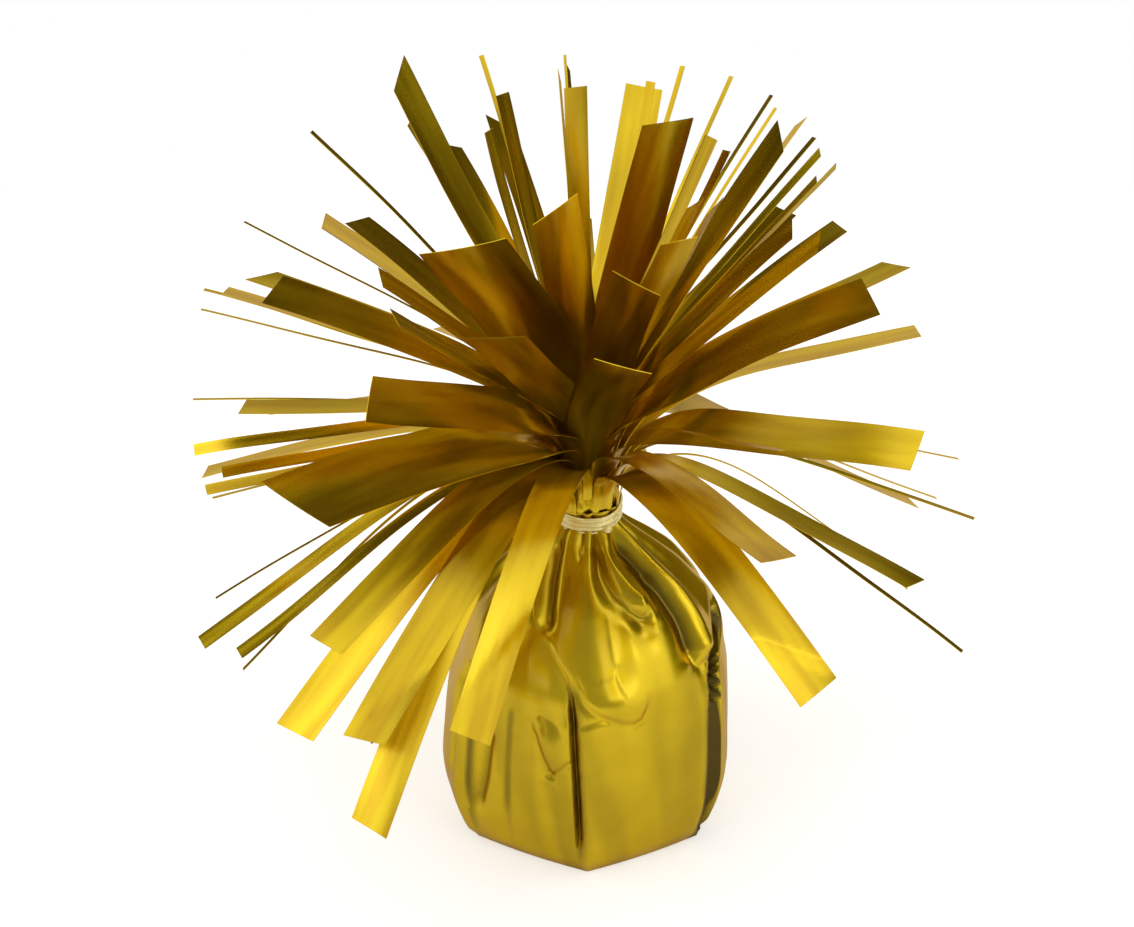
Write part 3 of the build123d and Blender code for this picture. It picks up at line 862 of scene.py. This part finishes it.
# slack of the film: noise round the bag and up it, and how far it pushes
SLACK_ROUND, SLACK_UP = 2.2, 30
SLACK_SCALE, SLACK_RISE = 1.5, 0.40
CRUMPLE_SCALE, CRUMPLE_SHIFT, CRUMPLE_RISE = 3.6, 9, 0.12
RIPPLE_ROUND, RIPPLE_UP, RIPPLE_RISE = 5.5, 24, 0.12
PLEAT_WARP_SCALE, PLEAT_WARP, PLEAT_SWAY = 0.9, 0.6, 2.2
PLEAT_MEAN = 1.27
PLEAT_TURNS, PLEAT_HEIGHTS = (50, 95), (58, 62)
TIE_CALM, TIE_HEIGHTS = 0.6, (58, 61)
BASE_HEIGHTS = (0, 6)
# painted shade: brown in folds by depth, a painted shadow under the fringe by height, and shade
# streaks on the lower bag
FOLD_SHADE, FOLD_SHADE_SPAN = 0.9, (0.3, 2.4)
FRINGE_SHADOW, FRINGE_SHADOW_SPAN = 0.2, (48, 60)
STREAK_SHADE, STREAK_SPAN, STREAK_TOP = 0.25, (-0.1, 0.5), (34, 42)
STREAK_LEAN, STREAK_ROUND, STREAK_UP, STREAK_SHIFT = 3, 5, 40, 4


def column_turn(share):
    """Angle of a column: columns stand closer on the front, where the finest folds are."""
    return 360 * share + FRONT_CROWDING * math.sin(2 * math.pi * share) - 180


def bag_rise(turn, height, pleat):
    """Pleats and slack of the film at a place on the bag, in millimetres."""
    spot = level_direction(turn) * SLACK_ROUND + Vector((0, 0, height / SLACK_UP))
    warp = PLEAT_WARP * noise.noise(spot * PLEAT_WARP_SCALE)
    puff = 2 * abs(math.cos(PLEATS / 2 * math.radians(turn) + PLEAT_SWAY * warp)) - PLEAT_MEAN
    behind = smooth_share(abs(turn), *PLEAT_TURNS)
    pleated = behind + (1 - behind) * smooth_share(height, *PLEAT_HEIGHTS)
    crumple = noise.noise(spot * CRUMPLE_SCALE + Vector((CRUMPLE_SHIFT, 0, 0)))
    ripple = level_direction(turn) * RIPPLE_ROUND + Vector((0, 0, height / RIPPLE_UP))
    slack = noise.noise(spot * SLACK_SCALE) * SLACK_RISE + crumple * CRUMPLE_RISE
    slack += noise.noise(ripple) * RIPPLE_RISE
    hold = smooth_share(height, *BASE_HEIGHTS)
    hold *= 1 - TIE_CALM * smooth_share(height, *TIE_HEIGHTS)
    return pleat * puff * pleated + slack * hold


def bag_painted_shade(turn, height, shade_depth):
    """How much shade is painted brown on the film: in folds, as a shadow under the fringe, and in
    streaks.
    """
    # painted shade in folds, by how deep the vertex lies in one
    in_fold = FOLD_SHADE * smooth_share(shade_depth, *FOLD_SHADE_SPAN)
    # painted shadow: the shoulder darkens towards the neck, under the fringe
    under = FRINGE_SHADOW * smooth_share(height, *FRINGE_SHADOW_SPAN)
    # painted shade: leaning streaks darken the lower bag, as its slack folds would
    spot = level_direction(turn + height / STREAK_LEAN) * STREAK_ROUND
    streak = STREAK_SHADE * smooth_share(
        noise.noise(spot + Vector((STREAK_SHIFT, 0, height / STREAK_UP))), *STREAK_SPAN
    )
    return max(in_fold, under, streak * (1 - smooth_share(height, *STREAK_TOP)))


lines = fold_lines()
bm = bmesh.new()
# painted shade: a vertex value for how brown the film is painted in folds, under the fringe and in
# streaks
painted_shade = bm.verts.layers.float.new("painted_shade")
rows = BASE_ROWS + len(profile)
made = bmesh.ops.create_grid(bm, x_segments=BAG_COLUMNS, y_segments=rows - 1, size=0.5)["verts"]
for vert in made:
    turn = column_turn(vert.co.x + 0.5)
    row = round((vert.co.y + 0.5) * (rows - 1))
    if row < BASE_ROWS:
        height, radius, crease, pleat = profile[0]
        vert.co = bag_point(turn, 0, radius * row / BASE_ROWS, crease) * MM
        continue
    index = row - BASE_ROWS
    height, radius, crease, pleat = profile[index]
    below, above = profile[max(index - 1, 0)], profile[min(index + 1, len(profile) - 1)]
    slope = Vector((above[0] - below[0], -(above[1] - below[1]))).normalized()
    outward = level_direction(turn - 90) * slope.x + Vector((0, 0, slope.y))
    point = bag_point(turn, height, radius, crease)
    push = bag_rise(turn, height, pleat)
    rise, shade_depth = fold_height(point, outward, lines)
    push += rise * smooth_share(height, 0, SETTLE_HEIGHT)
    push += bulge_height(point, turn) * smooth_share(height, 0, SETTLE_HEIGHT)
    # painted shade of this vertex
    vert[painted_shade] = bag_painted_shade(turn, height, shade_depth)
    point += outward * push
    vert.co = Vector((point.x, point.y, max(point.z, 0))) * MM
for vert in bm.verts:
    vert.co.z += FILM_THICKNESS
bmesh.ops.remove_doubles(bm, verts=bm.verts, dist=WELD)
bmesh.ops.recalc_face_normals(bm, faces=bm.faces)
give_thickness(bm)
bag = finish_piece("film_bag", bm, bag_film, ["foil_wrap"], crisp=False)
print("bag:", len(bag.data.polygons), "faces")

# %% [markdown]
# ## The gathered neck
# Inside the collar all the layers of film are crushed into one fluted stem, which thins
# upwards as the strips leave it.

# %% Gathered neck
GATHER_TIP_RADIUS = 2.15
GATHER_FOOT = 54.6
GATHER_TOP = 78.96
GATHER_TIP = 80.56
TIE_TOP = 66.2
TIP_PINCH = 0.9
TIE_SQUEEZE, TIE_RELEASE = 0.80, 0.20
FLUTES = 9
FLUTE_SWAY, FLUTE_ROUND, FLUTE_UP = 2, 60, 9
FLUTE_FLOOR, FLUTE_RISE = 0.90, 0.16
GATHER_COLUMNS, GATHER_ROWS = 108, 40
bm = bmesh.new()
made = bmesh.ops.create_grid(
    bm, x_segments=GATHER_COLUMNS, y_segments=GATHER_ROWS, size=0.5
)["verts"]
for vert in made:
    turn = 360 * vert.co.x
    share = vert.co.y + 0.5
    height = GATHER_FOOT + (GATHER_TIP - GATHER_FOOT) * share
    radius = GATHER_RADIUS + (GATHER_TIP_RADIUS - GATHER_RADIUS) * smooth_share(
        height, FIRST_ROOT, GATHER_TOP
    )
    radius *= 1 - TIP_PINCH * smooth_share(height, GATHER_TOP, GATHER_TIP)
    radius *= TIE_SQUEEZE + TIE_RELEASE * smooth_share(height, TIE_TOP - 1, FIRST_ROOT + 1)
    sway = FLUTE_SWAY * noise.noise(Vector((turn / FLUTE_ROUND, height / FLUTE_UP, 0)))
    wave = abs(math.cos(math.radians(FLUTES / 2 * turn) + sway))
    radius *= FLUTE_FLOOR + FLUTE_RISE * wave
    vert.co = (level_direction(turn) * radius + Vector((0, 0, height))) * MM
bmesh.ops.remove_doubles(bm, verts=bm.verts, dist=WELD)
bmesh.ops.holes_fill(bm, edges=bm.edges)
bmesh.ops.recalc_face_normals(bm, faces=bm.faces)
neck = finish_piece("gathered_neck", bm, bag_film, ["fringe_gather"])
print("neck:", len(neck.data.polygons), "faces")

# %% [markdown]
# ## The tie
# A few turns of fine gold strand bind the neck. A strand is a circle spun round the neck
# while it climbs, which is what the spin operator's step along its axis is for.

# %% Strand material
FIBRE_MM = 0.8
strand_gloss, tree, shader = new_material("gold tinsel strand")
place = add_node(tree, "ShaderNodeTexCoord")
fibre = add_node(
    tree, "ShaderNodeTexNoise",
    {"Vector": place.outputs["Object"], "Scale": 1 / (FIBRE_MM * MM), "Detail": 2.0},
)
tone = add_node(tree, "ShaderNodeValToRGB", {"Fac": fibre.outputs["Fac"]})
set_ramp(tone.color_ramp, ((0.3, "#ffe98e"), (0.7, "#fff8c4")))
tree.links.new(tone.outputs["Color"], shader.inputs["Base Color"])
shader.inputs["Metallic"].default_value = 0.3
shader.inputs["Roughness"].default_value = 0.22
shader.inputs["Coat Weight"].default_value = 0.8
print("strand material ready")

# %% Winding and knot
TIE_RADIUS = 6.0
TIE_FOOT = 63.2
TIE_RISE = 1.1
STRAND_RADIUS = 0.20
STRAND_SIDES = 8
STEPS_PER_TURN = 48
TIE_STRANDS = (
    # start bearing, start height, turns, radius shift
    (-60, 0.0, 2.25, 0.0), (-20, 0.5, 2.1, 0.10), (-150, 0.2, 2.0, 0.20), (60, 1.1, 1.9, 0.15),
    (110, 0.4, 2.2, 0.30), (10, 1.6, 1.8, 0.05), (-100, 0.8, 2.0, 0.35), (160, 1.4, 1.9, 0.25),
)
FAN_BEARING = 5
FAN_WIDTH = 28
FAN_RISE = 1.6
FAN_HEIGHT = 2.5
SWAY, SWAY_UP, SWAY_SCALE = 0.18, 1.6, 260
SWAY_SEED = 1
KNOT_RADIUS = 0.9
KNOT_OUT, KNOT_UP = 0.5, 0.9
KNOT_GROOVE, KNOT_WINDS, KNOT_LEAN = 0.12, 9, 4


def add_strand(bm, bearing, height, turns, shift):
    """One strand: a small circle spun round the neck while it climbs."""
    start = level_direction(bearing) * (TIE_RADIUS + shift) + Vector((0, 0, TIE_FOOT + height))
    facing = Matrix.Translation(start * MM) @ (
        level_direction(bearing + 90).to_track_quat("Z", "Y").to_matrix().to_4x4()
    )
    ring = bmesh.ops.create_circle(
        bm, segments=STRAND_SIDES, radius=STRAND_RADIUS * MM, matrix=facing
    )["verts"]
    edges = list(dict.fromkeys(edge for vert in ring for edge in vert.link_edges))
    steps = round(STEPS_PER_TURN * turns)
    bmesh.ops.spin(
        bm, geom=ring + edges, cent=(0, 0, 0), axis=(0, 0, 1),
        dvec=(0, 0, TIE_RISE * turns / steps * MM), angle=-2 * math.pi * turns, steps=steps,
    )


bm = bmesh.new()
for strand in TIE_STRANDS:
    add_strand(bm, *strand)
bmesh.ops.holes_fill(bm, edges=bm.edges, sides=STRAND_SIDES)
bmesh.ops.recalc_face_normals(bm, faces=bm.faces)
# noise_vector shifts its pattern by a random draw, so that draw gets a fixed seed
noise.seed_set(SWAY_SEED)
for vert in bm.verts:
    sway = noise.noise_vector(vert.co * SWAY_SCALE) * SWAY * MM
    bearing = math.degrees(math.atan2(vert.co.y, vert.co.x))
    fan = math.exp(-(((bearing - FAN_BEARING) / FAN_WIDTH) ** 2))
    level = vert.co.z / MM - TIE_FOOT
    lift = sway.z * SWAY_UP + fan * FAN_RISE * level / FAN_HEIGHT * MM
    vert.co += Vector((sway.x, sway.y, lift))
finish_piece("tie_strands", bm, strand_gloss, ["tie_winding"])

bm = bmesh.new()
low, high = (Vector(corner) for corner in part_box("tie_knot"))
middle = (low + high) / 2
seat = middle.xy.normalized().to_3d() * (TIE_RADIUS + KNOT_OUT) * MM
seat += Vector((0, 0, TIE_FOOT + KNOT_UP)) * MM
bmesh.ops.create_icosphere(bm, subdivisions=4, radius=1.0)
for vert in bm.verts:
    groove = 1 + KNOT_GROOVE * math.sin(KNOT_WINDS * vert.co.z + KNOT_LEAN * vert.co.x)
    vert.co = seat + vert.co * groove * KNOT_RADIUS * MM
finish_piece("tie_knot_turns", bm, strand_gloss, ["tie_knot"])
print("tie strands:", len(TIE_STRANDS))

# %% [markdown]
# ## The cast plug
# Nothing of the plug shows, but it carries the mass, so it keeps its solid from the frame
# and gets a cement finish: grey and matt, with fine sand.

# %% Cement
SAND_MM = 1.5
GRIT_DEPTH_MM = 0.2
cement, tree, shader = new_material("cast cement")
place = add_node(tree, "ShaderNodeTexCoord")
sand = add_node(
    tree, "ShaderNodeTexNoise",
    {"Vector": place.outputs["Object"], "Scale": 1 / (SAND_MM * MM), "Detail": 4.0},
)
tone = add_node(tree, "ShaderNodeValToRGB", {"Fac": sand.outputs["Fac"]})
set_ramp(tone.color_ramp, ((0.3, "#7d7a74"), (0.7, "#b3afa6")))
grit = add_node(
    tree, "ShaderNodeBump", {"Height": sand.outputs["Fac"], "Distance": GRIT_DEPTH_MM * MM}
)
tree.links.new(tone.outputs["Color"], shader.inputs["Base Color"])
tree.links.new(grit.outputs["Normal"], shader.inputs["Normal"])
shader.inputs["Roughness"].default_value = 0.85
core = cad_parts["weight_core"]
core.data.materials.clear()
core.data.materials.append(cement)
print("cement on", core.name)
